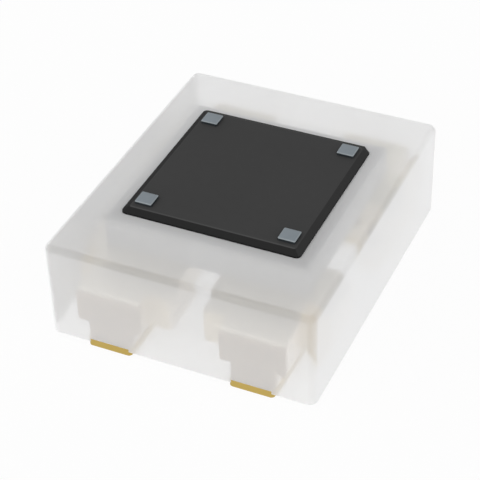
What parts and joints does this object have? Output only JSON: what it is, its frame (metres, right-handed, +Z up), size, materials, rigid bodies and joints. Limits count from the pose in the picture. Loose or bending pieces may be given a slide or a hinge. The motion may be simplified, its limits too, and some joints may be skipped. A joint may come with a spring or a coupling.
{
  "type": "surface-mount photodiode",
  "caption": "Photodiode with a black bevelled chip plate and corner contact pads set in a translucent resin block that stands on gold-plated leads.",
  "frame": {"origin": "middle of the footprint, on the plane of the solder faces", "axes": "+X along the short side of the block, +Y along its long side towards the rear leads, +Z up through the chip"},
  "size_m": [0.0044, 0.0052, 0.0019],
  "materials": {
    "resin": "translucent, slightly milky, smooth moulded faces",
    "chip_base": "black, satin",
    "chip_plate": "black, satin",
    "pads": "grey blue, satin",
    "leads": "gold plated, satin"
  },
  "bodies": {
    "root": {"resin_block": "resin", "chip_base": "chip_base", "chip_plate": "chip_plate", "pad_front_left": "pads", "pad_front_right": "pads", "pad_rear_left": "pads", "pad_rear_right": "pads", "lead_front_left": "leads", "lead_front_right": "leads", "lead_rear_left": "leads", "lead_rear_right": "leads"}
  },
  "joints": []
}
